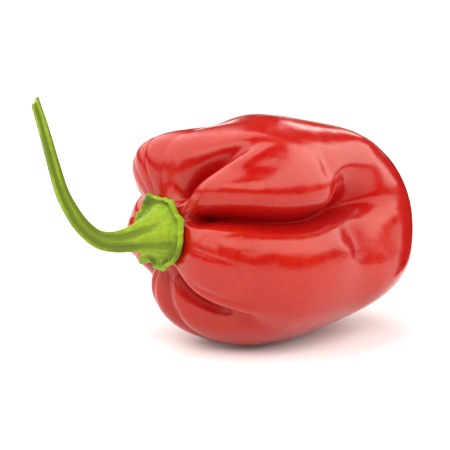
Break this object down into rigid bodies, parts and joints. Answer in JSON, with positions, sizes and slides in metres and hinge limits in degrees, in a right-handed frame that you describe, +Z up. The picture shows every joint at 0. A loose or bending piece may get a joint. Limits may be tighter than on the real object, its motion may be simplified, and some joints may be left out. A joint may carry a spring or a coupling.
{
  "type": "habanero pepper",
  "caption": "Whole red habanero pepper lying on its side: a lobed, furrowed pod with a toothed green calyx and a long curved stalk.",
  "frame": {"origin": "on the surface that the pepper lies on, under the centre of its bounding box", "axes": "+X from the stalk towards the blossom end, +Z up from the surface it lies on"},
  "size_m": [0.0737, 0.042, 0.0493],
  "materials": {
    "pod_skin": "waxy, glossy red skin",
    "stem_green": "fresh green plant stalk, satin"
  },
  "bodies": {
    "root": {"pod": "pod_skin", "stem": "stem_green"}
  },
  "joints": []
}
